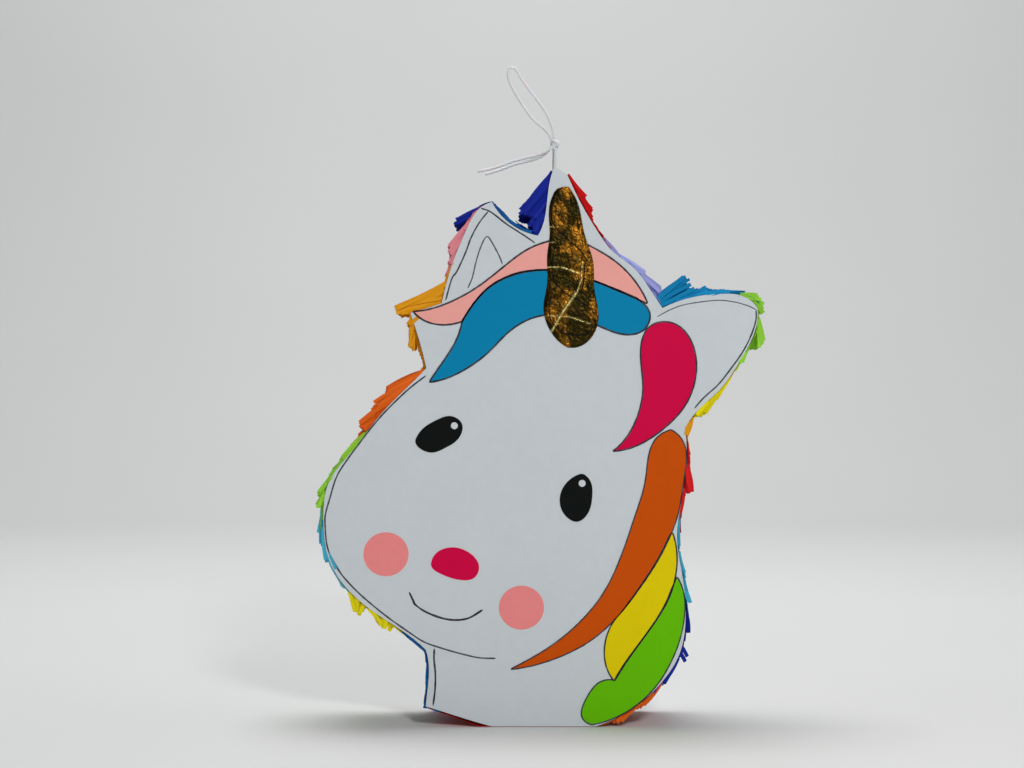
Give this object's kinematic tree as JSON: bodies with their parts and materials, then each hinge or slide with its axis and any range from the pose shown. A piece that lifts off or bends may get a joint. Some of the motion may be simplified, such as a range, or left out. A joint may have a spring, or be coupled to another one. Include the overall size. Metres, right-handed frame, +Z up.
{
  "type": "pinata",
  "caption": "Flat-sided unicorn head pinata that stands on its neck: cardboard box body, paper cut-outs, foil horn, crepe fringe round the sides, filling hatch at the back and a hanging string.",
  "frame": {"origin": "centre of the flat base that it stands on, midway between the front and back panels", "axes": "+Z up from the standing face to the horn, +Y from the front panel towards the back panel, +X to the right seen from the front"},
  "size_m": [0.339, 0.0833, 0.5017],
  "materials": {
    "corrugated_board": "matte",
    "white_paper": "matte",
    "gold_foil": "satin",
    "paper_pink": "matte",
    "paper_blue": "matte",
    "paper_crimson": "matte",
    "paper_orange": "matte",
    "paper_yellow": "matte",
    "paper_green": "matte",
    "paper_black": "satin",
    "paper_rose": "matte",
    "paper_tape": "satin",
    "stick_wood": "matte",
    "cotton_string": "matte",
    "crepe_red": "matte",
    "crepe_lilac": "matte",
    "crepe_cerulean": "matte",
    "crepe_lime": "matte",
    "crepe_yellow": "matte",
    "crepe_amber": "matte",
    "crepe_cyan": "matte",
    "crepe_navy": "matte",
    "crepe_blue": "matte",
    "crepe_orange": "matte",
    "crepe_teal": "matte",
    "crepe_pink": "matte"
  },
  "bodies": {
    "root": {"anchor_stick": "stick_wood", "back_panel": "corrugated_board", "back_paper": "white_paper", "band_base": "corrugated_board", "band_ear_left": "corrugated_board", "band_ear_right": "corrugated_board", "band_face": "corrugated_board", "band_forelock": "corrugated_board", "band_horn_left": "corrugated_board", "band_horn_right": "corrugated_board", "band_mane": "corrugated_board", "band_neck": "corrugated_board", "base_sheet": "crepe_red", "cheek_left": "paper_rose", "cheek_right": "paper_rose", "eye_glints": "white_paper", "eye_left": "paper_black", "eye_right": "paper_black", "forelock_blue": "paper_blue", "forelock_pink": "paper_pink", "fringe_amber_ear": "crepe_amber", "fringe_amber_forelock": "crepe_amber", "fringe_amber_nape": "crepe_amber", "fringe_blue_ear": "crepe_blue", "fringe_blue_neck": "crepe_blue", "fringe_cerulean": "crepe_cerulean", "fringe_cyan_mane": "crepe_cyan", "fringe_cyan_muzzle": "crepe_cyan", "fringe_lilac": "crepe_lilac", "fringe_lime_ear": "crepe_lime", "fringe_lime_face": "crepe_lime", "fringe_navy_ear": "crepe_navy", "fringe_navy_horn": "crepe_navy", "fringe_navy_mane": "crepe_navy", "fringe_orange_face": "crepe_orange", "fringe_orange_mane": "crepe_orange", "fringe_pink_ear": "crepe_pink", "fringe_red_horn": "crepe_red", "fringe_red_mane": "crepe_red", "fringe_teal_muzzle": "crepe_teal", "fringe_yellow_jaw": "crepe_yellow", "fringe_yellow_nape": "crepe_yellow", "front_panel": "corrugated_board", "front_paper": "white_paper", "hinge_tape_fixed": "paper_tape", "horn_foil": "gold_foil", "mane_green": "paper_green", "mane_orange": "paper_orange", "mane_yellow": "paper_yellow", "nose": "paper_crimson", "sidelock_crimson": "paper_crimson", "string_knot": "cotton_string", "string_loop": "cotton_string", "string_tail_back": "cotton_string", "string_tail_front": "cotton_string", "string_turn": "cotton_string"},
    "hatch": {"hatch_flap": "corrugated_board", "hatch_paper": "white_paper", "hinge_tape_flap": "paper_tape", "closing_tape": "paper_tape"}
  },
  "joints": [
    {"name": "hatch_hinge", "type": "hinge", "parent": "root", "child": "hatch", "pos_m": [0, 0.0404, 0.205], "axis": [1, 0, 0], "range_deg": [0, 120]}
  ]
}
